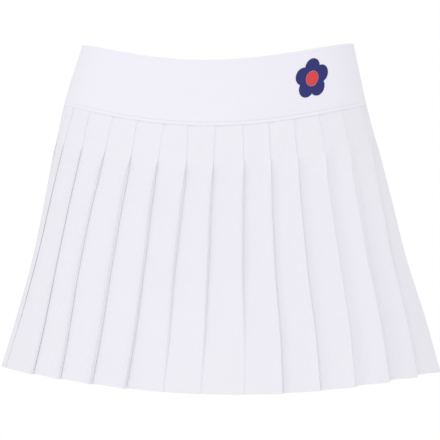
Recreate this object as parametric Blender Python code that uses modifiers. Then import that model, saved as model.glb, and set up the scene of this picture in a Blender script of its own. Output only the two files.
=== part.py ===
"""Pleated tennis skirt, filled out as it hangs on a general figure, with no wearer.

Metres, +Z up, the front faces -Y and +X is the viewer's right. The origin is the middle
of the waist opening, level with the highest points of the waist edge at the two sides.

The skirt is cut as a wide plain yoke, front and back, and a front and a back panel of
knife pleats. Every pleat lies over the one to its right, is stitched flat for a short
way below the yoke and is open from there to the hem.
"""
import math

import bmesh
import bpy
import numpy as np

# ---------------------------------------------------------------- driving dimensions
PLEATS = 28                # knife pleats all round, half of them in each panel
CLOTH_PER_PLEAT = 0.059    # width of flat cloth that is folded into one pleat
CLOTH_WALL = 0.0010        # one layer of the pleated cloth
YOKE_WALL = 0.0014         # the yoke is two layers sewn as one
LAYER_GAP = 0.0006         # air between the pressed layers of a pleat
SEAM_GAP = 0.0003          # between two pieces where they are sewn together
COVER_GAP = 0.0006         # between the yoke and the pleat edges that run up inside it
TUCK = 0.007               # how far the pleats run up inside the yoke
TACK = 0.0375              # length below the yoke where the pleats are stitched flat
CREST_LIFT = 0.0025        # how far an open pleat's edge stands off the next pleat
HEM_SWING = -0.44          # how far the creases have drifted at the hem, in pleats

EMBLEM_ACROSS = 0.104      # along the yoke, from the front middle to the flower's middle
EMBLEM_DROP = 0.0290       # from the waist edge down to the flower's middle
EMBLEM_WALL = 0.0006
PETALS = 5
POINTS_PER_PETAL = 10
PETAL_RADIUS = 0.0086
PETAL_REACH = 0.0110       # from the flower's middle to a petal's middle
CENTRE_RADIUS = 0.0072
CENTRE_POINTS = 24

# The skirt's outer form, a row for each level ring. Each ring is an oval that sinks
# towards the front and the back middle and may lean a little to one side.
FORM_COLUMNS = ("drop", "half_width", "half_depth", "sway", "dip", "tilt")
FORM = (
    # waist edge, at the sides
    (0.0000, 0.1455, 0.0735, 0.0000, 0.0199, 0.0010),
    (0.0330, 0.1540, 0.0780, -0.0020, 0.0228, 0.0006),
    # seam between the yoke and the pleats
    (0.0638, 0.1630, 0.0822, -0.0035, 0.0257, 0.0000),
    (0.1080, 0.1725, 0.0875, -0.0027, 0.0253, -0.0004),
    (0.1620, 0.1840, 0.0950, -0.0003, 0.0240, -0.0009),
    (0.2264, 0.1985, 0.1055, 0.0008, 0.0220, -0.0014),
    (0.2908, 0.2170, 0.1190, 0.0021, 0.0202, -0.0018),
    # hem, at the sides
    (0.3477, 0.2340, 0.1310, 0.0022, 0.0190, -0.0021),
)
SEAM_DROP = 0.0638
HEM_DROP = 0.3477
DIP_SHARPNESS = 2.5        # how closely a ring's sinking keeps to its front and back middle

COVER_LEAD = 0.002         # the yoke is clear of the pleats this far above their top
YOKE_LEVELS_ABOVE_TUCK = 4
YOKE_COLUMNS = 49
PLEAT_LEVELS_BELOW_TACK = 4

# ---------------------------------------------------------------- worked-out sizes
LAYER_STEP = CLOTH_WALL + LAYER_GAP
TURN = LAYER_STEP / 2
STACK = 2 * LAYER_STEP + CLOTH_WALL / 2    # from the lowest layer's middle to the outside
TUCK_DROP = SEAM_DROP - TUCK
COVER_DROP = TUCK_DROP - COVER_LEAD
TACK_DROP = SEAM_DROP + TACK
RING_STEPS = 720


def smooth_column(drop, name):
    """Read one column of FORM at a drop, as a smooth curve through its rows."""
    table = np.array(FORM)
    x = table[:, 0]
    y = table[:, FORM_COLUMNS.index(name)]
    slopes = np.gradient(y, x)
    i = int(np.clip(np.searchsorted(x, drop) - 1, 0, len(x) - 2))
    span = x[i + 1] - x[i]
    t = (drop - x[i]) / span
    keep_start = (1 + 2 * t) * (1 - t) ** 2
    keep_end = t * t * (3 - 2 * t)
    lean_start = t * (1 - t) ** 2 * span
    lean_end = t * t * (t - 1) * span
    return (keep_start * y[i] + keep_end * y[i + 1]
            + lean_start * slopes[i] + lean_end * slopes[i + 1])


class Ring:
    """One level of the outer form. Lengths along it start at the front middle."""

    def __init__(self, drop):
        width, depth, sway, dip, tilt = (smooth_column(drop, c) for c in FORM_COLUMNS[1:])
        bearing = np.linspace(-math.pi, math.pi, RING_STEPS + 1)
        side, fore = np.sin(bearing), np.cos(bearing)
        self.points = np.stack([
            sway + width * side,
            -depth * fore,
            -drop + tilt * side - dip * np.abs(fore) ** DIP_SHARPNESS,
        ], axis=1)
        steps = np.linalg.norm(np.diff(self.points, axis=0), axis=1)
        along = np.concatenate([[0.0], np.cumsum(steps)])
        self.length = along[-1]
        self.along = along - along[RING_STEPS // 2]
        outward = np.stack([side / width, -fore / depth], axis=1)
        self.normals = outward / np.linalg.norm(outward, axis=1)[:, None]
        quarter = RING_STEPS // 4
        self.left_side = self.along[quarter]
        self.right_side = self.along[3 * quarter]

    def place(self, along, out):
        """The point at a length along the ring, moved out level by a distance."""
        half = self.length / 2
        along = (along + half) % self.length - half
        x, y, z = (np.interp(along, self.along, self.points[:, i]) for i in range(3))
        nx, ny = (np.interp(along, self.along, self.normals[:, i]) for i in range(2))
        return (x + nx * out, y + ny * out, z)


# ---------------------------------------------------------------- making objects
def make_material(name, colour, roughness):
    material = bpy.data.materials.new(name)
    material.use_nodes = True
    shader = material.node_tree.nodes["Principled BSDF"]
    shader.inputs["Base Color"].default_value = (*colour, 1.0)
    shader.inputs["Roughness"].default_value = roughness
    shader.inputs["Metallic"].default_value = 0.0
    material.diffuse_color = (*colour, 1.0)
    return material


def sheet_object(name, rows, wall, material, collection, closed=False):
    """A cloth wall through rows of points, with its thickness on both sides of them.

    Every patch is split along the same diagonal, so that layers a hair apart stay parallel.
    """
    mesh = bmesh.new()
    grid = [[mesh.verts.new(point) for point in row] for row in rows]
    columns = len(grid[0])
    last = columns if closed else columns - 1
    for upper, lower in zip(grid, grid[1:]):
        for i in range(last):
            j = (i + 1) % columns
            mesh.faces.new((upper[i], lower[i], lower[j]))
            mesh.faces.new((upper[i], lower[j], upper[j]))
    return finish_sheet(name, mesh, wall, material, collection)


def finish_sheet(name, mesh, wall, material, collection):
    data = bpy.data.meshes.new(name)
    mesh.to_mesh(data)
    mesh.free()
    data.materials.append(material)
    sheet = bpy.data.objects.new(name, data)
    collection.objects.link(sheet)
    solidify = sheet.modifiers.new("wall", "SOLIDIFY")
    solidify.thickness = wall
    solidify.offset = 0.0
    solidify.use_even_offset = True
    return sheet


# ---------------------------------------------------------------- the yoke
def yoke_offset(drop):
    """Middle of the yoke's wall: flush at the waist, over the pleats at its lower edge."""
    flush = -YOKE_WALL / 2
    over_pleats = COVER_GAP + YOKE_WALL / 2
    return flush + (over_pleats - flush) * min(1.0, drop / COVER_DROP)


def yoke_half(name, is_front, material, collection):
    rows = []
    for drop in [*np.linspace(0.0, COVER_DROP, YOKE_LEVELS_ABOVE_TUCK), SEAM_DROP]:
        ring = Ring(drop)
        if is_front:
            start, end = ring.left_side, ring.right_side
        else:
            start, end = ring.right_side, ring.left_side + ring.length
        stretch = np.linspace(start + SEAM_GAP / 2, end - SEAM_GAP / 2, YOKE_COLUMNS)
        rows.append([ring.place(along, yoke_offset(drop)) for along in stretch])
    return sheet_object(name, rows, YOKE_WALL, material, collection)


# ---------------------------------------------------------------- the pleated panels
def pleat_profile(first, last, pitch, lift):
    """(length along, level) of a panel's folded cloth from crease first to crease last.

    The three layers of a pleat share their lengths along, so that their flats stay
    parallel where the form turns. The panel ends in the middle of a lowest layer.
    """
    under = (CLOTH_PER_PLEAT - pitch) / 2
    profile = [(first * pitch - under / 2, 0.0)]
    for pleat in range(first, last):
        left = pleat * pitch
        crease = left + pitch
        middle, inner = crease - under / 2, crease - under
        profile += [
            (left, 0.0),
            (inner, 2 * LAYER_STEP),
            (middle, 2 * LAYER_STEP + lift / 2),
            (crease, 2 * LAYER_STEP + lift),
            (crease + TURN, 1.5 * LAYER_STEP + lift),
            (crease, LAYER_STEP + lift),
            (middle, LAYER_STEP + lift / 2),
            (inner, LAYER_STEP),
            (inner - TURN, LAYER_STEP / 2),
            (inner, 0.0),
            (middle, 0.0),
        ]
    profile[-1] = (last * pitch - under / 2 - SEAM_GAP, 0.0)
    return profile


def pleat_levels():
    """Drops of the rings from the tuck inside the yoke down to the hem."""
    open_part = np.linspace(TACK_DROP, HEM_DROP, PLEAT_LEVELS_BELOW_TACK)
    return [TUCK_DROP, SEAM_DROP, *open_part]


def pleated_panel(name, first, last, material, collection):
    rows = []
    for drop in pleat_levels():
        ring = Ring(drop)
        pitch = ring.length / PLEATS
        below_seam = max(0.0, drop - SEAM_DROP) / (HEM_DROP - SEAM_DROP)
        swing = HEM_SWING * math.sqrt(below_seam) * pitch
        lift = CREST_LIFT if drop > TACK_DROP else 0.0
        profile = pleat_profile(first, last, pitch, lift)
        rows.append([ring.place(along + swing, level - STACK) for along, level in profile])
    return sheet_object(name, rows, CLOTH_WALL, material, collection)


# ---------------------------------------------------------------- the flower on the yoke
def on_yoke(across, up):
    """A point of the flower, on the yoke's outside and a seam gap clear of it."""
    drop = EMBLEM_DROP - up
    out = yoke_offset(drop) + YOKE_WALL / 2 + SEAM_GAP + EMBLEM_WALL / 2
    return Ring(drop).place(EMBLEM_ACROSS + across, out)


def petal_edge(angle):
    """Distance from the flower's middle to the edge of its round petals."""
    sector = 2 * math.pi / PETALS
    from_axis = (angle + sector / 2) % sector - sector / 2
    rise = PETAL_REACH * math.cos(from_axis)
    half_chord = math.sqrt(PETAL_RADIUS ** 2 - (PETAL_REACH * math.sin(from_axis)) ** 2)
    return rise + half_chord


def flower_ring(angles, radius_at):
    """A closed row of points round the flower's middle, which starts at the top petal."""
    points = []
    for angle in angles:
        radius = radius_at(angle)
        points.append(on_yoke(-radius * math.sin(angle), radius * math.cos(angle)))
    return points


def flower_petals(material, collection):
    angles = np.linspace(0, 2 * math.pi, POINTS_PER_PETAL * PETALS, endpoint=False)
    inner = CENTRE_RADIUS + SEAM_GAP
    rows = [flower_ring(angles, lambda a, part=part: inner + part * (petal_edge(a) - inner))
            for part in (0.0, 0.5, 1.0)]
    return sheet_object("emblem_petals", rows, EMBLEM_WALL, material, collection, closed=True)


def flower_centre(material, collection):
    angles = np.linspace(0, 2 * math.pi, CENTRE_POINTS, endpoint=False)
    mesh = bmesh.new()
    middle = mesh.verts.new(on_yoke(0.0, 0.0))
    inner, outer = ([mesh.verts.new(p) for p in flower_ring(angles, lambda a: radius)]
                    for radius in (CENTRE_RADIUS / 2, CENTRE_RADIUS))
    for i in range(len(angles)):
        j = (i + 1) % len(angles)
        mesh.faces.new((middle, inner[i], inner[j]))
        mesh.faces.new((inner[i], outer[i], outer[j], inner[j]))
    return finish_sheet("emblem_centre", mesh, EMBLEM_WALL, material, collection)


# ---------------------------------------------------------------- the skirt
def build_skirt():
    for leftover in list(bpy.data.objects):
        bpy.data.objects.remove(leftover, do_unlink=True)
    skirt = bpy.data.collections.new("tennis_skirt")
    bpy.context.scene.collection.children.link(skirt)

    pleat_cloth = make_material("pleat_cloth", (0.86, 0.85, 0.91), 0.75)
    yoke_cloth = make_material("yoke_cloth", (0.88, 0.87, 0.94), 0.7)
    navy = make_material("navy_film", (0.018, 0.022, 0.155), 0.45)
    red = make_material("red_film", (0.66, 0.050, 0.055), 0.45)

    yoke_half("yoke_front", True, yoke_cloth, skirt)
    yoke_half("yoke_back", False, yoke_cloth, skirt)
    side = PLEATS // 4
    pleated_panel("pleats_front", -side, side, pleat_cloth, skirt)
    pleated_panel("pleats_back", side, PLEATS - side, pleat_cloth, skirt)
    flower_petals(navy, skirt)
    flower_centre(red, skirt)


build_skirt()
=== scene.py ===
"""Looks of a pleated tennis skirt, filled out with no wearer, built round its CAD frame.

Metres, +Z up, the front faces -Y and +X is the viewer's right. The origin is the middle
of the waist opening, level with the highest points of the waist edge at the two sides.

Three words hold throughout. A drop names a level ring of the form by how far its sides
lie below the origin. An along is a length along that ring, to the right from the front
middle. A crease is the edge at the right of a pleat's visible face, and gives the pleat
its number: crease 0 is at the front middle and the numbers grow to the right.
"""
import math

import bmesh
import bpy
import numpy as np
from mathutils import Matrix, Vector, noise


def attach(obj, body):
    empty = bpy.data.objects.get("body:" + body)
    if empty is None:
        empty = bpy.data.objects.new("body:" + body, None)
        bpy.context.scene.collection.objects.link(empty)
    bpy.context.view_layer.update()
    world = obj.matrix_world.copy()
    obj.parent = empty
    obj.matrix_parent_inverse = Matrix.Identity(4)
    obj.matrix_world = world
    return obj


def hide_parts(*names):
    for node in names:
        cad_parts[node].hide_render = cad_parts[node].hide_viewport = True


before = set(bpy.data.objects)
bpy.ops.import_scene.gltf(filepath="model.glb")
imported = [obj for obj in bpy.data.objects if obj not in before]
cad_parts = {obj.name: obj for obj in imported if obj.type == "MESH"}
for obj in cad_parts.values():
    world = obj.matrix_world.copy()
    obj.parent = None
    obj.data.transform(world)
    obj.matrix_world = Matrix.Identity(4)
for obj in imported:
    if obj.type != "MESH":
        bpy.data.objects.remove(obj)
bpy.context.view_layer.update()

# ---------------------------------------------------------------- the cut
PLEATS = 28                # knife pleats all round, half of them in each panel
CLOTH_PER_PLEAT = 0.059    # width of flat cloth that is folded into one pleat
CLOTH_WALL = 0.00020       # one layer of the pleated cloth
YOKE_WALL = 0.0007         # the yoke is two thin layers sewn as one
PRESSED_STEP = 0.00023     # from one layer of a pleat to the next where they are stitched flat
OPEN_STEP = 0.00030        # and where the pleats are open
SEAM_GAP = 0.0003          # between two pieces where they are sewn together
TUCK = 0.007               # how far the pleats run up inside the yoke
TACK = 0.0350              # length below the yoke where the pleats are stitched flat
WELT = 0.0032              # height of the yoke's stitched lower edge
HEM_DEPTH = 0.0085         # the hem's turned-up band
HEM_SWING = -0.44          # how far the creases have swung to the left at the hem, in pleats

# How the swing grows from the seam to the hem, both from 0 to 1.
SWING_GROWTH = ((0.0, 0.0), (0.13, 0.12), (0.33, 0.49), (0.5, 0.68), (1.0, 1.0))

# The skirt's outer form, a row for each level ring, within 2 mm of the CAD solids. dip is
# how much lower its front and back middle are, sharpness how closely the dip keeps to
# them, lean how far the dip shifts to the left and tilt how much higher the right side is.
FORM_COLUMNS = ("drop", "half_width", "half_depth", "sway", "dip", "tilt", "lean", "sharpness")
FORM = (
    # waist edge, at the sides
    (0.0000, 0.1455, 0.0735, 0.0000, 0.0199, 0.0010, 0.16, 2.5),
    (0.0330, 0.1540, 0.0780, -0.0020, 0.0228, 0.0006, 0.14, 2.4),
    # seam between the yoke and the pleats
    (0.0655, 0.1616, 0.0822, -0.0029, 0.0240, 0.0000, 0.08, 2.2),
    (0.1080, 0.1716, 0.0875, -0.0018, 0.0245, -0.0004, 0.06, 2.3),
    (0.1620, 0.1838, 0.0950, -0.0001, 0.0240, -0.0009, 0.04, 2.4),
    (0.2264, 0.1985, 0.1055, 0.0008, 0.0220, -0.0014, 0.00, 2.5),
    (0.2908, 0.2175, 0.1190, 0.0026, 0.0202, -0.0018, -0.03, 2.5),
    # hem, at the sides
    (0.3465, 0.2340, 0.1310, 0.0022, 0.0204, -0.0024, -0.06, 2.5),
)
SEAM_DROP = 0.0655
HEM_DROP = 0.3465
TUCK_DROP = SEAM_DROP - TUCK
TACK_DROP = SEAM_DROP + TACK

# The four lifts are how high a pleat's edge stands over the next pleat, in millimetres:
# where it is stitched flat, just below that, half way down and at the hem. gap is the
# share of that height that is an open slit; the rest is the roundness of the fold, which
# is roll millimetres wide. soft is how far back from the edge the cloth rolls up, from 0
# for a sharp press to 1. The four drifts are how many millimetres the edge strays to the
# right: at the seam, at the end of the tack, half way down and at the hem. A crease with
# no row of its own lies between its neighbours.
CREASE_COLUMNS = ("crease", "lift_tack", "lift_top", "lift_middle", "lift_hem",
                  "gap", "roll", "soft",
                  "drift_seam", "drift_tack", "drift_middle", "drift_hem")
CREASES = (
    (-9, 0.0, 0.8, 1.0, 1.0, 0.2, 0.6, 0.2, 0.0, 0.0, 0.0, 0.0),
    (-7, 0.0, 0.8, 1.0, 1.0, 0.2, 0.6, 0.2, 2.0, 2.0, 1.0, 0.0),
    (-6, 0.0, 1.2, 1.2, 0.0, 0.2, 0.8, 0.2, 5.5, 2.7, 3.0, 7.0),
    (-5, 0.0, 1.8, 1.8, 2.8, 0.26, 0.9, 0.1, 1.4, 1.4, 5.0, 19.3),
    (-4, 0.0, 2.4, 2.4, 3.6, 0.18, 1.4, 0.1, 2.0, 0.5, -0.2, 13.0),
    (-3, 0.1, 3.4, 3.6, 4.8, 0.14, 2.2, 0.1, 1.7, 0.7, 1.5, 8.0),
    (-2, 0.0, 3.8, 3.6, 4.4, 0.16, 2.0, 0.1, 2.3, 0.3, 2.0, 3.8),
    (-1, 0.1, 3.6, 3.6, 0.2, 0.13, 2.4, 0.1, -0.5, 0.2, -0.6, 0.8),
    (0, 0.2, 3.6, 3.8, -0.4, 0.14, 2.2, 0.1, 0.1, -1.3, -0.4, -2.8),
    (1, 0.4, 3.8, 3.8, -2.6, 0.13, 2.4, 0.1, 0.3, 0.2, 1.1, 0.2),
    (2, 0.5, 3.6, 4.0, 4.6, 0.14, 2.2, 0.1, -0.7, -1.2, 0.0, -1.4),
    (3, 0.6, 3.6, 4.2, 4.4, 0.15, 2.0, 0.2, -1.4, -2.2, -0.9, -3.6),
    (4, 0.6, 2.4, 3.6, 4.4, 0.0, 5.0, 0.7, -1.4, -0.8, 2.0, -6.6),
    (5, 0.6, 2.0, 4.4, 5.2, 0.0, 7.0, 0.9, -0.9, 0.2, 0.6, -8.2),
    (6, 0.6, 1.6, 4.2, 5.0, 0.0, 6.5, 0.9, 2.0, 3.6, -0.6, -12.2),
    (7, 0.2, 0.8, 2.4, 4.0, 0.0, 5.0, 0.6, 0.0, 0.0, -1.0, -6.0),
    (9, 0.1, 2.4, 2.6, 1.0, 0.05, 2.0, 0.3, 0.0, 0.0, 1.0, 2.0),
    (11, 0.0, 1.6, 2.0, 2.4, 0.1, 1.2, 0.2, 0.5, 0.0, -1.0, -2.5),
    (13, 0.2, 3.2, 3.0, 0.6, 0.08, 2.2, 0.2, -0.5, 0.5, 1.5, 1.0),
    (15, 0.3, 2.0, 3.2, 3.4, 0.0, 3.0, 0.6, 0.0, -0.5, 0.5, 3.0),
    (17, 0.1, 2.2, 2.2, 1.4, 0.1, 1.4, 0.2, 0.5, 0.0, -1.0, -1.5),
    (19, 0.0, 0.8, 1.0, 1.0, 0.2, 0.6, 0.2, 0.0, 0.0, 0.0, 0.0),
)
FORM_TABLE = np.array(FORM)
CREASE_TABLE = np.array(CREASES)
MILLIMETRE = 0.001


# ---------------------------------------------------------------- curves and rings
def smooth_read(x, y, at):
    """Read a smooth curve through the points (x, y)."""
    slopes = np.gradient(y, x)
    i = int(np.clip(np.searchsorted(x, at) - 1, 0, len(x) - 2))
    span = x[i + 1] - x[i]
    t = min(1.0, max(0.0, (at - x[i]) / span))
    keep_start = (1 + 2 * t) * (1 - t) ** 2
    keep_end = t * t * (3 - 2 * t)
    lean_start = t * (1 - t) ** 2 * span
    lean_end = t * t * (t - 1) * span
    return (keep_start * y[i] + keep_end * y[i + 1]
            + lean_start * slopes[i] + lean_end * slopes[i + 1])


def smooth_step(low, high, at):
    """From 0 at low to 1 at high, level at both ends."""
    t = min(1.0, max(0.0, (at - low) / (high - low)))
    return t * t * (3 - 2 * t)


def bump(at, middle, width):
    """A soft bump of height 1."""
    return math.exp(-((at - middle) / width) ** 2)


def uneven(height, across, down, seed, along, drop):
    """Soft noise of about a height, with so many changes a metre across and down."""
    return height * noise.noise(Vector((along * across, drop * down, seed)))


RING_STEPS = 720


class Ring:
    """One level of the outer form."""

    def __init__(self, drop):
        width, depth, sway, dip, tilt, lean, sharpness = (
            smooth_read(FORM_TABLE[:, 0], FORM_TABLE[:, i], drop)
            for i in range(1, len(FORM_COLUMNS)))
        bearing = np.linspace(-math.pi, math.pi, RING_STEPS + 1)
        side, fore = np.sin(bearing), np.cos(bearing)
        self.points = np.stack([
            sway + width * side,
            -depth * fore,
            -drop + tilt * side - dip * (1.0 - lean * side) * np.abs(fore) ** sharpness,
        ], axis=1)
        steps = np.linalg.norm(np.diff(self.points, axis=0), axis=1)
        along = np.concatenate([[0.0], np.cumsum(steps)])
        self.length = along[-1]
        self.along = along - along[RING_STEPS // 2]
        outward = np.stack([side / width, -fore / depth], axis=1)
        self.normals = outward / np.linalg.norm(outward, axis=1)[:, None]
        quarter = RING_STEPS // 4
        self.left_side = self.along[quarter]
        self.right_side = self.along[3 * quarter]

    def wrap(self, along):
        """The same place, as a length of at most half way round."""
        half = self.length / 2
        return (along + half) % self.length - half

    def place(self, along, out, sink=0.0):
        """The point at a length along the ring, moved out level and down."""
        along = self.wrap(along)
        x, y, z = (np.interp(along, self.along, self.points[:, i]) for i in range(3))
        nx, ny = (np.interp(along, self.along, self.normals[:, i]) for i in range(2))
        return (x + nx * out, y + ny * out, z - sink)


RINGS = {}


def ring_at(drop):
    key = round(drop, 6)
    if key not in RINGS:
        RINGS[key] = Ring(drop)
    return RINGS[key]


# ---------------------------------------------------------------- making pieces
def linked_object(name, data):
    piece = bpy.data.objects.new(name, data)
    bpy.context.scene.collection.objects.link(piece)
    return piece


def shell_object(name, rows, uvs, wall, material, sharp_angle, closed=False):
    """A thin cloth shell through rows of points, with uvs in metres of flat cloth."""
    mesh = bmesh.new()
    uv_layer = mesh.loops.layers.uv.new("cloth")
    grid = [[mesh.verts.new(point) for point in row] for row in rows]
    columns = len(grid[0])
    last = columns if closed else columns - 1
    for r in range(len(grid) - 1):
        for i in range(last):
            j = (i + 1) % columns
            corners = ((r, i), (r + 1, i), (r + 1, j), (r, j))
            face = mesh.faces.new([grid[a][b] for a, b in corners])
            for loop, (a, b) in zip(face.loops, corners):
                loop[uv_layer].uv = uvs[a][b]
    data = bpy.data.meshes.new(name)
    mesh.to_mesh(data)
    mesh.free()
    piece = linked_object(name, data)
    solidify = piece.modifiers.new("wall", "SOLIDIFY")
    solidify.thickness = wall
    solidify.offset = 0.0
    settle(piece, sharp_angle)
    piece.data.materials.append(material)
    return piece


def settle(piece, sharp_angle):
    """Apply the piece's modifiers and shade it smooth except at real edges."""
    graph = bpy.context.evaluated_depsgraph_get()
    final = bpy.data.meshes.new_from_object(piece.evaluated_get(graph))
    piece.modifiers.clear()
    piece.data = final
    final.shade_smooth()
    final.set_sharp_from_angle(angle=math.radians(sharp_angle))


def place_piece(piece, slot, *nodes):
    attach(piece, "root")
    if nodes:
        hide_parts(*nodes)


# ---------------------------------------------------------------- materials
WAVES_PER_UNIT = 3.1831    # how often a wave texture repeats in a unit at scale 1


def add_node(tree, kind, inputs, **settings):
    """Add a shader node. Each input is a value or the output that feeds it."""
    node = tree.nodes.new("ShaderNode" + kind)
    for setting, value in settings.items():
        setattr(node, setting, value)
    for socket, value in inputs.items():
        if isinstance(value, bpy.types.NodeSocket):
            tree.links.new(value, node.inputs[socket])
        else:
            node.inputs[socket].default_value = value
    return node


def node_material(name, colour, roughness, sheen):
    material = bpy.data.materials.new(name)
    material.use_nodes = True
    tree = material.node_tree
    shader = tree.nodes["Principled BSDF"]
    shader.inputs["Base Color"].default_value = (*colour, 1.0)
    shader.inputs["Roughness"].default_value = roughness
    shader.inputs["Specular IOR Level"].default_value = 0.3
    shader.inputs["Sheen Weight"].default_value = sheen
    shader.inputs["Sheen Roughness"].default_value = 0.5
    return material, tree, shader


def weave_height(tree, coords, pitch):
    """Height of a plain weave with the given thread pitch, from the cloth's own metres."""
    threads = [
        add_node(tree, "TexWave", {
            "Scale": 1.0 / (pitch * WAVES_PER_UNIT), "Distortion": 0.4, "Detail": 1.0,
            "Detail Scale": 0.6, "Vector": coords.outputs["UV"],
        }, wave_type="BANDS", bands_direction=direction, wave_profile="SIN")
        for direction in ("X", "Y")]
    both = add_node(tree, "Math", {0: threads[0].outputs["Fac"], 1: threads[1].outputs["Fac"]},
                    operation="MULTIPLY")
    return both.outputs[0]


def cloth_material(name, colour, roughness, pitch, mottle, rumple):
    """Matt white cloth: a fine weave, a faint mottle in its whiteness and soft rumples."""
    material, tree, shader = node_material(name, colour, roughness, 0.12)
    coords = add_node(tree, "TexCoord", {})
    threads = weave_height(tree, coords, pitch)

    cloud = add_node(tree, "TexNoise", {
        "Scale": 16.0, "Detail": 5.0, "Vector": coords.outputs["Object"]})
    darker = tuple(c * (1.0 - mottle) for c in colour)
    tint = add_node(tree, "Mix", {
        "A": (*darker, 1.0), "B": (*colour, 1.0), "Factor": cloud.outputs["Fac"],
    }, data_type="RGBA")
    weft = add_node(tree, "Mix", {
        "Factor": 0.06, "A": tint.outputs["Result"], "B": threads,
    }, data_type="RGBA", blend_type="MULTIPLY")
    tree.links.new(weft.outputs["Result"], shader.inputs["Base Color"])

    rumples = add_node(tree, "TexNoise", {
        "Scale": 38.0, "Detail": 3.0, "Vector": coords.outputs["Object"]})
    soft_bump = add_node(tree, "Bump", {
        "Strength": 1.0, "Distance": rumple, "Height": rumples.outputs["Fac"]})
    weave_bump = add_node(tree, "Bump", {
        "Strength": 0.35, "Distance": 0.00012, "Height": threads,
        "Normal": soft_bump.outputs["Normal"]})
    tree.links.new(weave_bump.outputs["Normal"], shader.inputs["Normal"])
    return material


def film_material(name, colour):
    """Printed transfer film: smooth, with the cloth's grain just showing through."""
    material, tree, shader = node_material(name, colour, 0.42, 0.0)
    coords = add_node(tree, "TexCoord", {})
    grain = add_node(tree, "TexNoise", {
        "Scale": 900.0, "Detail": 2.0, "Vector": coords.outputs["Object"]})
    darker = tuple(c * 0.86 for c in colour)
    shade = add_node(tree, "Mix", {
        "A": (*colour, 1.0), "B": (*darker, 1.0), "Factor": grain.outputs["Fac"],
    }, data_type="RGBA")
    tree.links.new(shade.outputs["Result"], shader.inputs["Base Color"])
    relief = add_node(tree, "Bump", {
        "Strength": 0.3, "Distance": 0.0001, "Height": grain.outputs["Fac"]})
    tree.links.new(relief.outputs["Normal"], shader.inputs["Normal"])
    return material


def thread_material():
    """Plain white sewing thread with a fine twist."""
    material, tree, shader = node_material("stitch_thread", (0.70, 0.70, 0.76), 0.6, 0.1)
    coords = add_node(tree, "TexCoord", {})
    twist = add_node(tree, "TexNoise", {"Scale": 1500.0, "Vector": coords.outputs["Object"]})
    relief = add_node(tree, "Bump", {
        "Strength": 0.5, "Distance": 0.0001, "Height": twist.outputs["Fac"]})
    tree.links.new(relief.outputs["Normal"], shader.inputs["Normal"])
    return material


# ---------------------------------------------------------------- the yoke
YOKE_COLUMNS = 240
COVER_GAP = 0.00015        # between the yoke and the pleats that run up inside it
COVER_START = 0.002        # how far above those pleats the yoke stands out over them in full
WELT_BULGE = 0.00045       # how far the stitched lower edge swells out
EDGE_TURN = 0.0003         # how far the very edge turns in again
EDGE_TURN_HEIGHT = 0.0008
RIM_BULGE = 0.00020        # the rounded rim of the waist edge
RIM_WIDTH = 0.0016
YOKE_DENTS = (0.0010, 14.0, 22.0, 3.7)    # height, changes a metre across and down, seed
DENTS_FROM_WAIST = 0.012   # the dents fade out towards both edges
DENTS_FROM_SEAM = 0.010

SIDE_SHARE = 0.1           # how much of the welt is left at the two side seams
SIDE_QUIET = 0.02          # within this of a side seam
SIDE_FADE = 0.09           # and from here on all of it

STITCH_DROP = SEAM_DROP - WELT - 0.0004   # the topstitches run just above the welt
STITCH_GROOVE = 0.00048    # how deep they pull the cloth in
STITCH_GROOVE_WIDTH = 0.0005
STITCH_LENGTH = 0.0021
STITCH_PITCH = 0.0026
STITCH_RADIUS = 0.00017
STITCH_PARTS = (0.0, 0.12, 0.35, 0.65, 0.88, 1.0)    # where along a stitch it is shaped
STITCH_END = 0.45          # a stitch's radius at its two ends, as a share
STITCH_BURIED = 0.8        # how deep its ends lie in the groove, in radii
STITCH_BOW = 1.4           # and how far its middle stands out again
THREAD_SIDES = 6


def yoke_face(drop):
    """The yoke's outside: flush with the form at the waist, over the pleats lower down."""
    return (COVER_GAP + YOKE_WALL) * min(1.0, drop / (TUCK_DROP - COVER_START))


def side_fade(along, drop):
    """From 1 over the front or the back down to a small share at the two side seams."""
    ring = ring_at(drop)
    nearest = abs(abs(ring.wrap(along)) - ring.length / 4)
    return SIDE_SHARE + (1.0 - SIDE_SHARE) * smooth_step(SIDE_QUIET, SIDE_FADE, nearest)


def yoke_relief(along, drop):
    """Small reliefs of the yoke's outside: its welt, its rim and soft dents."""
    from_edge = SEAM_DROP - drop
    across_welt = (from_edge - WELT / 2) / (WELT / 2)
    welt = WELT_BULGE * math.sqrt(max(0.0, 1.0 - across_welt ** 2))
    groove = STITCH_GROOVE * bump(drop, STITCH_DROP, STITCH_GROOVE_WIDTH)
    turned = EDGE_TURN * (1.0 - smooth_step(0.0, EDGE_TURN_HEIGHT, from_edge))
    rim = RIM_BULGE * bump(drop, RIM_WIDTH, RIM_WIDTH)
    dents = uneven(*YOKE_DENTS, along, drop)
    fade = smooth_step(0.0, DENTS_FROM_WAIST, drop) * smooth_step(0.0, DENTS_FROM_SEAM, from_edge)
    return (welt - groove) * side_fade(along, drop) - turned + rim + dents * fade


def yoke_drops():
    """Levels of the yoke's rows, closer at its two edges."""
    rim_end = 0.005
    welt_start = SEAM_DROP - 0.0075
    rim = np.linspace(0.0, rim_end, 8, endpoint=False)
    plain = np.linspace(rim_end, welt_start, 26, endpoint=False)
    welt = np.linspace(welt_start, SEAM_DROP, 30)
    return [*rim, *plain, *welt]


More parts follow.
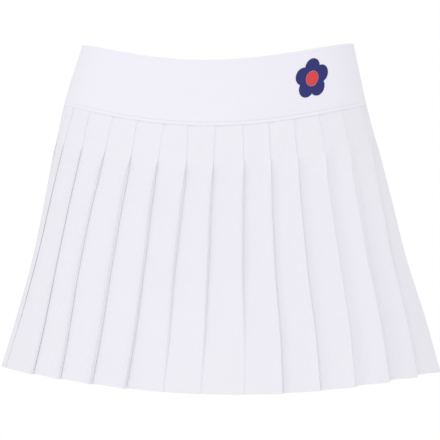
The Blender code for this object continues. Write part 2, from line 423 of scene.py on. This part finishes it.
def yoke_half(name, is_front, material):
    rows, uvs = [], []
    for drop in yoke_drops():
        ring = ring_at(drop)
        if is_front:
            start, end = ring.left_side, ring.right_side
        else:
            start, end = ring.right_side, ring.left_side + ring.length
        stretch = np.linspace(start + SEAM_GAP / 2, end - SEAM_GAP / 2, YOKE_COLUMNS)
        middle = yoke_face(drop) - YOKE_WALL / 2
        rows.append([ring.place(a, middle + yoke_relief(a, drop)) for a in stretch])
        uvs.append([(a, -drop) for a in stretch])
    piece = shell_object(name, rows, uvs, YOKE_WALL, material, 50)
    place_piece(piece, "yoke_cloth", name.replace("cloth_", ""))


def thread_loop(mesh, ring, start, part):
    """The thread's outline part of the way along a stitch, thinner and deeper at its ends."""
    along = start + part * STITCH_LENGTH
    bow = math.sin(math.pi * part)
    radius = STITCH_RADIUS * (STITCH_END + (1.0 - STITCH_END) * min(1.0, 2.0 * bow))
    out = yoke_face(STITCH_DROP) + yoke_relief(along, STITCH_DROP)
    out += STITCH_RADIUS * (STITCH_BOW * min(1.0, 1.6 * bow) - STITCH_BURIED)
    loop = []
    for i in range(THREAD_SIDES):
        angle = 2 * math.pi * i / THREAD_SIDES
        x, y, z = ring.place(along, out + radius * math.cos(angle))
        loop.append(mesh.verts.new((x, y, z + radius * math.sin(angle))))
    return loop


def stitch_row(material):
    """The topstitches along the yoke's lower edge, each a short bowed thread."""
    ring = ring_at(STITCH_DROP)
    count = round(ring.length / STITCH_PITCH)
    mesh = bmesh.new()
    for stitch in range(count):
        start = (stitch / count - 0.5) * ring.length
        loops = [thread_loop(mesh, ring, start, part) for part in STITCH_PARTS]
        for one, two in zip(loops, loops[1:]):
            for i in range(THREAD_SIDES):
                j = (i + 1) % THREAD_SIDES
                mesh.faces.new((one[i], one[j], two[j], two[i]))
        mesh.faces.new(loops[0][::-1])
        mesh.faces.new(loops[-1])
    data = bpy.data.meshes.new("seam_stitches")
    mesh.to_mesh(data)
    mesh.free()
    data.shade_smooth()
    data.materials.append(material)
    place_piece(linked_object("seam_stitches", data), "yoke_cloth")


# ---------------------------------------------------------------- how a pleat lies
# A reach is a share of the open length, which runs from the end of the tack to the hem.
LIFT_REACH = 0.07          # over which a pleat's edge lifts, quickest at its start
LIFT_POWER = 0.7
TOP_REACH = 0.12           # down to which lift_top holds
HELD_START = 0.001         # how far below the seam a stitched-flat edge begins to lift
HELD_END = 0.008
OPEN_LIFT = 0.0010         # lift at which a pleat's layers have opened fully
LAYER_REACH = 0.15         # over which they open
LEAST_ROLL = 0.0002        # a fold's width where it is pressed sharp
ROLL_REACH = 0.15          # over which a fold rounds out
ROLL_NARROWING = 0.4       # how much narrower it is again at the hem
STEEP_FALL = 0.3           # how far the roll of a sharp pleat is steeper at its top than even
SHARP_RISE = 8.0           # how steeply a sharp pleat's face rises to its edge
SOFT_RISE = 2.0            # and how gently a soft one does
LEAST_LAP = 0.2            # share of a face's width over which it leaves the layer below
TROUGH = 1.3               # how deep a soft pleat sinks beside the edge over it, in its lifts
TROUGH_AT = 0.32           # where across its face
TROUGH_END = 0.95          # and where it is level again
RIDGE = 0.00022            # the pressed edge's own ridge
RIDGE_WIDTH = 0.0016
RIDGE_REACH = 0.03
DIMPLE = 0.0006            # the puff where the tack stitches let a pleat go
DIMPLE_BACK = 0.0045       # how far back from the edge it lies
DIMPLE_WIDTH = 0.0028
DIMPLE_BELOW = 0.003       # and how far below the tack
DIMPLE_HEIGHT = 0.0045

# Unevenness of the visible faces: its height and its changes a metre, across and down.
LARGE_WAVES = (0.0006, 30.0, 18.0)
SMALL_WAVES = (0.0003, 85.0, 60.0)
TACK_DENTS = (0.0007, 55.0, 50.0)
WAVES_REACH = 0.3          # over which the large waves take over from the tack's dents
PUFF = 0.35                # how far a soft pleat's middle bulges, in its lifts
FLAT_BELOW_SEAM = 0.005    # the seam holds the cloth flat above this


def crease_value(crease, column):
    """Read CREASES at a crease, between rows where it has none of its own."""
    first = CREASE_TABLE[0, 0]
    wrapped = (crease - first) % PLEATS + first
    i = CREASE_COLUMNS.index(column)
    return float(np.interp(wrapped, CREASE_TABLE[:, 0], CREASE_TABLE[:, i]))


def below(drop):
    """How far down the open pleats a drop is, from 0 at the tack stitches to 1 at the hem."""
    return (drop - TACK_DROP) / (HEM_DROP - TACK_DROP)


def crease_lift(crease, drop):
    """How far a pleat's edge stands off the next pleat at a drop."""
    t = below(drop)
    tack, top, middle, hem = (
        crease_value(crease, "lift_" + c) for c in ("tack", "top", "middle", "hem"))
    places = np.array([0.0, TOP_REACH, 0.5, 1.0])
    free = smooth_read(places, np.array([top, top, middle, hem]), t)
    held = tack * smooth_step(SEAM_DROP + HELD_START, SEAM_DROP + HELD_END, drop)
    let_go = smooth_step(0.0, LIFT_REACH, t) ** LIFT_POWER
    return MILLIMETRE * (held + (max(0.0, free) - held) * let_go)


def crease_drift(crease, drop):
    """How far a pleat's edge strays to the right of its even place at a drop."""
    stops = [crease_value(crease, "drift_" + c) for c in ("seam", "tack", "middle", "hem")]
    places = (SEAM_DROP, TACK_DROP, (TACK_DROP + HEM_DROP) / 2, HEM_DROP)
    return MILLIMETRE * smooth_read(np.array(places), np.array(stops), max(drop, SEAM_DROP))


def layer_step(drop, lift):
    """From the middle of one layer of a pleat to the middle of the next."""
    opened = smooth_step(0.0, LAYER_REACH, below(drop)) * min(1.0, lift / OPEN_LIFT)
    return PRESSED_STEP + (OPEN_STEP - PRESSED_STEP) * opened


class Pleat:
    """One pleat at one level: its visible face ends at its crease, on the right."""

    def __init__(self, crease, drop, pitch, swing):
        t = below(drop)
        widened = smooth_step(0.0, ROLL_REACH, t) * (1.0 - ROLL_NARROWING * max(0.0, t))
        self.roll = max(LEAST_ROLL, MILLIMETRE * crease_value(crease, "roll") * widened)
        self.left = (crease - 1) * pitch + swing + crease_drift(crease - 1, drop)
        self.right = crease * pitch + swing + crease_drift(crease, drop) - self.roll / 2
        self.width = self.right - self.left
        self.lift = crease_lift(crease, drop)
        self.under = (CLOTH_PER_PLEAT - self.width - self.roll - self.lift) / 2
        self.gap = crease_value(crease, "gap")
        self.soft = crease_value(crease, "soft")
        self.sink = TROUGH * crease_value(crease - 1, "soft") * crease_lift(crease - 1, drop)
        self.step = layer_step(drop, self.lift)
        self.crease = crease
        self.drop = drop

    def part(self, along):
        """Where a length along lies on the visible face, from 0 at its left to 1."""
        return min(1.0, max(0.0, (along - self.left) / self.width))

    def pressed(self, part):
        """Level of the visible face before its edge lifts, over the lowest layer."""
        inner = (self.right - self.under - self.left) / self.width
        return 2 * self.step * smooth_step(0.0, max(LEAST_LAP, inner), part)

    def rise(self, part):
        """How far the visible face has risen towards its lifted edge."""
        return self.lift * part ** (SHARP_RISE + (SOFT_RISE - SHARP_RISE) * self.soft)

    def fall(self, part):
        """How far the rolled edge has come down, steeper at its top on a soft pleat."""
        even = smooth_step(0.0, 1.0, part)
        steep = 1.0 - (1.0 - part) ** 2
        return even + (steep - even) * min(1.0, STEEP_FALL + self.soft)

    def rumple(self, along, part):
        """Uneven puffs of the visible face, which fade out at both its ends."""
        free = smooth_step(0.0, WAVES_REACH, below(self.drop))
        puff = PUFF * self.lift * self.soft * free
        large = uneven(*LARGE_WAVES, self.crease * 1.7, along, self.drop)
        small = uneven(*SMALL_WAVES, self.crease * 2.3, along, self.drop)
        dents = uneven(*TACK_DENTS, 7.1, along, self.drop)
        wobble = large * free + small + dents * (1.0 - free)
        clear = smooth_step(SEAM_DROP, SEAM_DROP + FLAT_BELOW_SEAM, self.drop)
        return (puff + wobble) * clear * math.sin(math.pi * part)

    def face_level(self, along):
        part = self.part(along)
        to_edge = self.right - along
        opened = smooth_step(0.0, RIDGE_REACH, below(self.drop))
        ridge = RIDGE * bump(to_edge, 0.0, RIDGE_WIDTH) * opened
        dimple = (DIMPLE * bump(to_edge, DIMPLE_BACK, DIMPLE_WIDTH)
                  * bump(self.drop - TACK_DROP, DIMPLE_BELOW, DIMPLE_HEIGHT))
        hollow = self.sink * (smooth_step(0.0, TROUGH_AT, part)
                              - smooth_step(TROUGH_AT, TROUGH_END, part))
        return (self.pressed(part) + self.rise(part) + self.rumple(along, part)
                + ridge + dimple - hollow)

    def under_level(self, along):
        """Level of the layer that folds back behind the visible face."""
        part = self.part(along)
        lowest = self.face_level(along) - self.step
        return min(lowest, self.pressed(part) - self.step + self.gap * self.rise(part))

    def lowest_level(self, along):
        """Level of the layer that runs on to the next pleat."""
        return min(0.0, self.under_level(along) - self.step)


# ---------------------------------------------------------------- the pleated panels
# Where the points lie across a visible face, a rolled edge and the layer behind them.
FACE_STEPS = (0.0, 0.05, 0.12, 0.21, 0.31, 0.42, 0.53, 0.64, 0.74, 0.82, 0.88, 0.93,
              0.965, 0.985, 1.0)
ROLL_STEPS = (0.14, 0.28, 0.42, 0.56, 0.7, 0.85, 1.0)
UNDER_STEPS = (0.0, 0.12, 0.3, 0.55, 0.8, 1.0)
TURN_STEPS = 4             # steps round a fold

STACK = 2 * PRESSED_STEP + CLOTH_WALL / 2    # from the lowest layer to a flat pleat's outside
SEAM_SWELL = 0.0007        # the bulk of the pleats just below the seam, level with the yoke
SWELL_HEIGHT = 0.0005
HEM_BULK = 0.00022         # how much thicker the turned-up hem is
HEM_SAG = 0.0004           # how much lower a pleat's loose edge hangs at the hem
SAG_LEVEL = 0.002          # for an edge that stands out this far
SAG_LEAST = -0.3           # the lowest layer hangs higher by this share
SAG_START = 0.6            # share of the open length where the sag begins


def turn(middle, across, level, high):
    """The points round a fold, between the layer above it and the one below it."""
    for i in range(1, TURN_STEPS):
        angle = math.pi * i / TURN_STEPS
        yield middle + across * math.sin(angle), level + high * math.cos(angle)


def pleat_row(pleat):
    """One pleat's cloth: its face, its rolled edge and the two layers behind them."""
    row = []
    for part in FACE_STEPS:
        along = pleat.left + part * pleat.width
        row.append((along, pleat.face_level(along)))
    crest = pleat.face_level(pleat.right)
    foot = pleat.under_level(pleat.right)
    fold = min(pleat.step, crest - foot)
    for part in ROLL_STEPS:
        row.append((pleat.right + part * pleat.roll,
                    crest - (crest - foot - fold) * pleat.fall(part)))
    row.extend(turn(pleat.right + pleat.roll, fold / 2, foot + fold / 2, fold / 2))
    row.append((pleat.right + pleat.roll, foot))
    for part in UNDER_STEPS:
        along = pleat.right - part * pleat.under
        row.append((along, pleat.under_level(along)))
    inner = pleat.right - pleat.under
    upper, lower = pleat.under_level(inner), pleat.lowest_level(inner)
    row.extend(turn(inner, -pleat.step / 2, (upper + lower) / 2, (upper - lower) / 2))
    row.append((inner, lower))
    halfway = inner + pleat.under / 2
    row.append((halfway, pleat.lowest_level(halfway)))
    return row


def fold_row(first, last, drop):
    """The ring at one level and a panel's cloth there, as (length along, level) points."""
    ring = ring_at(drop)
    pitch = ring.length / PLEATS
    grown = np.array(SWING_GROWTH)
    t = max(0.0, drop - SEAM_DROP) / (HEM_DROP - SEAM_DROP)
    swing = HEM_SWING * smooth_read(grown[:, 0], grown[:, 1], t) * pitch
    pleats = [Pleat(c, drop, pitch, swing) for c in range(first + 1, last + 1)]
    lead_in = Pleat(first, drop, pitch, swing).under / 2
    row = [(pleats[0].left - lead_in, 0.0)]
    for pleat in pleats:
        row.extend(pleat_row(pleat))
    row[-1] = (row[-1][0] - SEAM_GAP, row[-1][1])
    return ring, row


def panel_drops():
    """Levels of the panel's rows, closer where the pleats open and at the hem."""
    swell_end = SEAM_DROP + 0.0007
    tack_end = TACK_DROP - 0.002
    opening_end = TACK_DROP + 0.018
    hem_start = HEM_DROP - 0.012
    tucked = np.linspace(TUCK_DROP, SEAM_DROP, 3, endpoint=False)
    swelling = np.linspace(SEAM_DROP, swell_end, 6, endpoint=False)
    tacked = np.linspace(swell_end, tack_end, 10, endpoint=False)
    opening = np.linspace(tack_end, opening_end, 16, endpoint=False)
    free = np.linspace(opening_end, hem_start, 42, endpoint=False)
    hem = np.linspace(hem_start, HEM_DROP, 10)
    return [*tucked, *swelling, *tacked, *opening, *free, *hem]


def seam_swell(along, drop):
    """The pleats swell out from under the yoke until they are level with it."""
    reach = SWELL_HEIGHT * side_fade(along, drop)
    return SEAM_SWELL * smooth_step(SEAM_DROP, SEAM_DROP + reach, drop)


def hem_relief(drop):
    """The turned-up hem is a little thicker than the cloth above it."""
    from_edge = HEM_DROP - drop
    band_end, cloth_start = HEM_DEPTH - 0.001, HEM_DEPTH + 0.0008
    return HEM_BULK * (1.0 - smooth_step(band_end, cloth_start, from_edge))


def hem_sag(level, drop):
    """Near the hem a pleat's lifted edge hangs lower than the layers behind it."""
    standing = min(1.0, max(SAG_LEAST, level / SAG_LEVEL))
    return HEM_SAG * standing * smooth_step(SAG_START, 1.0, below(drop))


def pleated_panel(name, first, last, material):
    rows, uvs = [], []
    for drop in panel_drops():
        ring, row = fold_row(first, last, drop)
        points, coords, used = [], [], 0.0
        previous = row[0]
        for along, level in row:
            used += math.hypot(along - previous[0], level - previous[1])
            previous = (along, level)
            outward = level + seam_swell(along, drop) + hem_relief(drop) - STACK
            points.append(ring.place(along, outward, hem_sag(level, drop)))
            coords.append((used, -drop))
        rows.append(points)
        uvs.append(coords)
    piece = shell_object(name, rows, uvs, CLOTH_WALL, material, 70)
    place_piece(piece, "pleat_cloth", name.replace("cloth_", ""))


# ---------------------------------------------------------------- the flower on the yoke
FLOWER_ACROSS = 0.104      # its middle, along from the front middle
FLOWER_DROP = 0.0290
FLOWER_WALL = 0.00025
FLOWER_LIFT = 0.00006      # from the yoke's outside to the back of the film
FILM_GAP = 0.0003          # between the petals and the centre
PETALS = 5
PETAL_RADIUS = 0.0086
PETAL_REACH = 0.0110       # from the flower's middle to a petal's
CENTRE_RADIUS = 0.0072
CENTRE_HOLE = 0.0004       # the pinhole that the rings of points end at


def on_yoke(across, up):
    """A point of the flower, lying on the yoke's outside."""
    drop = FLOWER_DROP - up
    along = FLOWER_ACROSS + across
    out = yoke_face(drop) + yoke_relief(along, drop) + FLOWER_LIFT + FLOWER_WALL / 2
    return ring_at(drop).place(along, out)


def petal_edge(angle):
    """Distance from the flower's middle to the edge of its round petals."""
    sector = 2 * math.pi / PETALS
    from_axis = (angle + sector / 2) % sector - sector / 2
    rise = PETAL_REACH * math.cos(from_axis)
    half_chord = math.sqrt(PETAL_RADIUS ** 2 - (PETAL_REACH * math.sin(from_axis)) ** 2)
    return rise + half_chord


def flower_piece(name, material, inner_at, outer_at, steps, around):
    """A flat film between two outlines, each a distance from the middle at an angle."""
    angles = np.linspace(0, 2 * math.pi, around, endpoint=False)
    rows, uvs = [], []
    for part in np.linspace(0.0, 1.0, steps):
        row, coords = [], []
        for angle in angles:
            radius = inner_at(angle) + part * (outer_at(angle) - inner_at(angle))
            across, up = -radius * math.sin(angle), radius * math.cos(angle)
            row.append(on_yoke(across, up))
            coords.append((across, up))
        rows.append(row)
        uvs.append(coords)
    return shell_object(name, rows, uvs, FLOWER_WALL, material, 40, closed=True)


def flower(navy, red):
    petals = flower_piece("flower_petals", navy, lambda a: CENTRE_RADIUS + FILM_GAP,
                          petal_edge, 8, 120)
    place_piece(petals, "navy_film", "emblem_petals")
    centre = flower_piece("flower_centre", red, lambda a: CENTRE_HOLE,
                          lambda a: CENTRE_RADIUS, 6, 72)
    place_piece(centre, "red_film", "emblem_centre")


# ---------------------------------------------------------------- the studio
CAMERA_DISTANCE = 3.0
VIEW_WIDTH = 0.4721        # width of the picture at the skirt's middle
VIEW_CENTRE = (0.0021, -0.1878)
SENSOR = 36.0
LIGHTS_AIM = Vector((0.0, 0.0, -0.18))
FLOOR_RADIUS = 5.5
FLOOR_LEVEL = -0.95


def softbox(name, place, size, power):
    light = bpy.data.lights.new(name, "AREA")
    light.shape = "DISK"
    light.size = size
    light.energy = power
    box = linked_object(name, light)
    box.location = place
    aim = LIGHTS_AIM - Vector(place)
    box.rotation_euler = aim.to_track_quat("-Z", "Y").to_euler()


def studio():
    scene = bpy.context.scene
    scene.view_settings.view_transform = "Standard"
    scene.view_settings.look = "None"

    lens = bpy.data.cameras.new("camera")
    lens.sensor_width = SENSOR
    lens.lens = SENSOR * CAMERA_DISTANCE / VIEW_WIDTH
    lens.clip_end = 50.0
    camera = linked_object("camera", lens)
    camera.location = (VIEW_CENTRE[0], -CAMERA_DISTANCE, VIEW_CENTRE[1])
    camera.rotation_euler = (math.pi / 2, 0.0, 0.0)
    scene.camera = camera

    world = bpy.data.worlds.new("studio")
    world.use_nodes = True
    background = world.node_tree.nodes["Background"]
    background.inputs["Color"].default_value = (1.0, 1.0, 1.0, 1.0)
    background.inputs["Strength"].default_value = 1.0
    scene.world = world

    softbox("key", (-0.35, -2.90, 1.0), 1.2, 12.8)
    softbox("side", (-2.30, -1.90, 0.4), 0.8, 3.2)

    bpy.ops.mesh.primitive_circle_add(vertices=96, radius=FLOOR_RADIUS, fill_type="NGON",
                                      location=(0.0, 0.0, FLOOR_LEVEL))
    floor = bpy.context.object
    floor.name = "studio_floor"
    material, _, _ = node_material("studio_floor", (0.86, 0.86, 0.87), 0.9, 0.0)
    floor.data.materials.append(material)


# ---------------------------------------------------------------- the skirt
def build_skirt():
    yoke_cloth = cloth_material("yoke_cloth", (0.825, 0.816, 0.880), roughness=0.75,
                                pitch=0.00045, mottle=0.02, rumple=0.0006)
    pleat_cloth = cloth_material("pleat_cloth", (0.813, 0.804, 0.860), roughness=0.8,
                                 pitch=0.00040, mottle=0.02, rumple=0.0006)
    yoke_half("cloth_yoke_front", True, yoke_cloth)
    yoke_half("cloth_yoke_back", False, yoke_cloth)
    stitch_row(thread_material())
    side = PLEATS // 4
    pleated_panel("cloth_pleats_front", -side, side, pleat_cloth)
    pleated_panel("cloth_pleats_back", side, PLEATS - side, pleat_cloth)
    navy = film_material("navy_film", (0.018, 0.022, 0.155))
    red = film_material("red_film", (0.66, 0.050, 0.055))
    flower(navy, red)


build_skirt()
studio()
